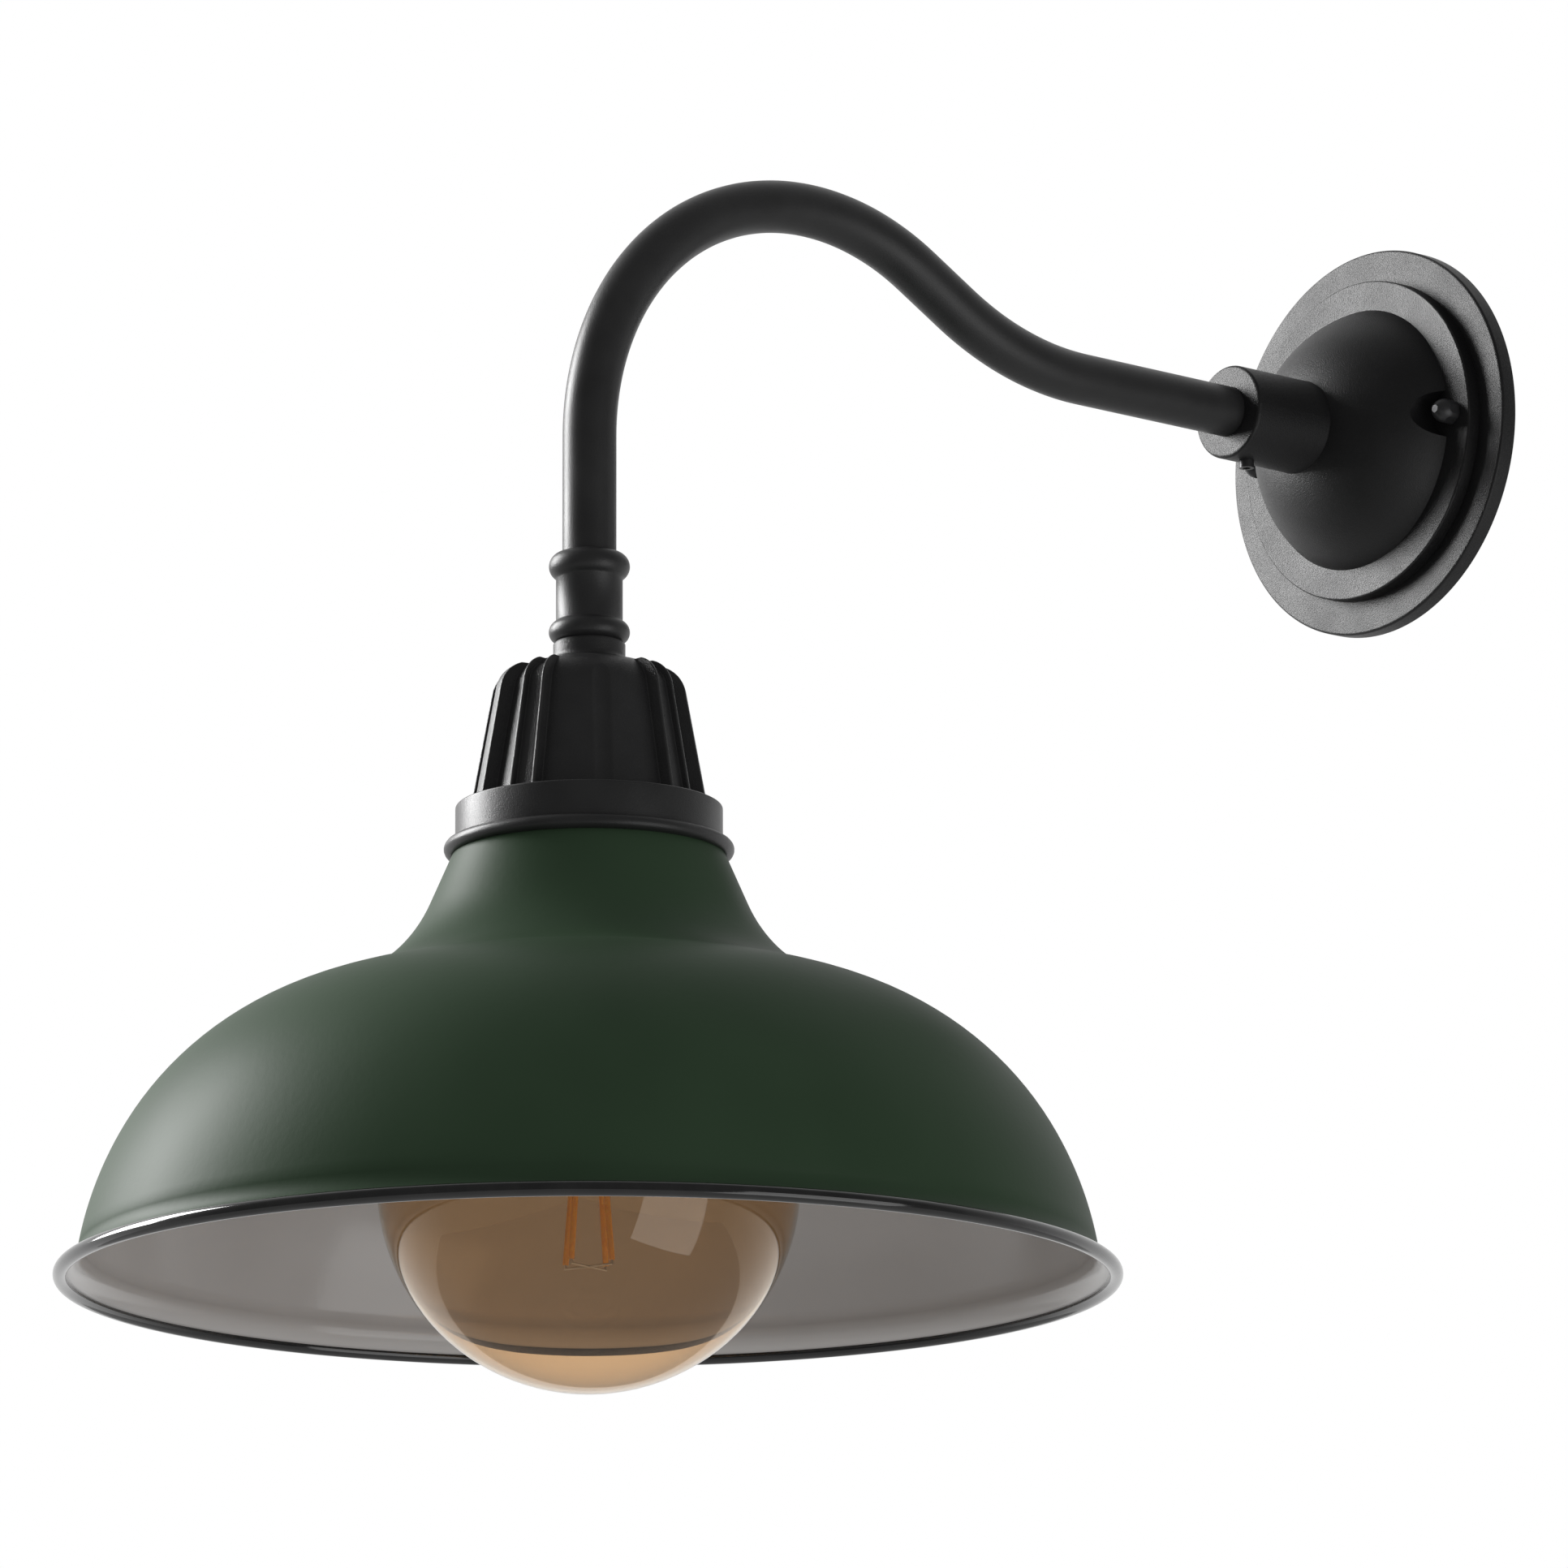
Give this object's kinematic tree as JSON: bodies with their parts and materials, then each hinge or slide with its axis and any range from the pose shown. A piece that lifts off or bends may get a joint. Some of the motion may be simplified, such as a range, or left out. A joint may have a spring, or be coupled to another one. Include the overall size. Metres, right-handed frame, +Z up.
{
  "type": "gooseneck wall lamp",
  "caption": "Wall lamp with a domed canopy, a bent gooseneck arm, a fluted socket cap, an open dome shade and a screw-in globe bulb.",
  "frame": {"origin": "middle of the wall plate's back face, on the wall", "axes": "+Y into the wall, so the lamp stands out towards -Y; +Z up; X = 0 is the lamp's plane of symmetry"},
  "size_m": [0.314, 0.4844, 0.405],
  "materials": {
    "black_coat": "fine-textured satin powder coat",
    "black_enamel": "gloss enamel",
    "green_enamel": "satin enamel, white inside",
    "zinc_steel": "zinc plated",
    "black_screw": "black oxide",
    "brass": "bright",
    "porcelain": "glazed",
    "rubber": "matt",
    "wire_black": "smooth",
    "wire_white": "smooth",
    "wire_green": "smooth",
    "connector_plastic": "smooth",
    "green_steel": "green plated",
    "amber_glass": "clear amber tint",
    "clear_glass": "clear",
    "filament": "orange phosphor coat",
    "base_metal": "bright",
    "black_ceramic": "glassy",
    "solder": "soft"
  },
  "bodies": {
    "wall_unit": {"wall_plate": "black_coat", "mounting_plate": "zinc_steel", "canopy": "black_coat", "canopy_studs": "zinc_steel", "stud_nuts": "zinc_steel", "acorn_nuts": "black_screw", "arm_set_screw": "black_screw"},
    "arm_unit": {"arm_tube": "black_coat", "line_wire": "wire_black", "neutral_wire": "wire_white", "ground_wire": "wire_green", "wire_connectors": "connector_plastic", "ferrule": "black_coat", "seal_washer": "rubber", "socket_cap": "black_coat", "shade_collar": "black_coat", "neck_screws": "zinc_steel", "shade": "green_enamel", "shade_rim": "black_enamel", "threaded_nipple": "zinc_steel", "nipple_locknuts": "zinc_steel", "socket_bracket": "zinc_steel", "bracket_screws": "zinc_steel", "ground_screw": "green_steel", "lampholder_body": "porcelain", "lampholder_shell": "brass", "centre_contact": "brass"},
    "bulb_foot": {"bulb_insulator": "black_ceramic", "bulb_contact": "solder"},
    "bulb": {"bulb_glass": "amber_glass", "bulb_stem": "clear_glass", "bulb_filaments": "filament", "bulb_filament_supports": "zinc_steel", "bulb_base_shell": "base_metal"}
  },
  "joints": [
    {"name": "arm_swivel", "type": "hinge", "parent": "wall_unit", "child": "arm_unit", "pos_m": [0, -0.05, 0], "axis": [0, -1, 0], "range_deg": [-90, 90]},
    {"name": "bulb_travel", "type": "slide", "parent": "arm_unit", "child": "bulb_foot", "axis": [0, 0, -1], "range_m": [0, 0.01815]},
    {"name": "bulb_turn", "type": "hinge", "parent": "bulb_foot", "child": "bulb", "pos_m": [0, -0.3274, -0.279], "axis": [0, 0, -1], "range_deg": [0, 1800]}
  ],
  "couplings": [
    {"joint": "bulb_travel", "follows": "bulb_turn", "m_per_rad": 0.00057757}
  ]
}
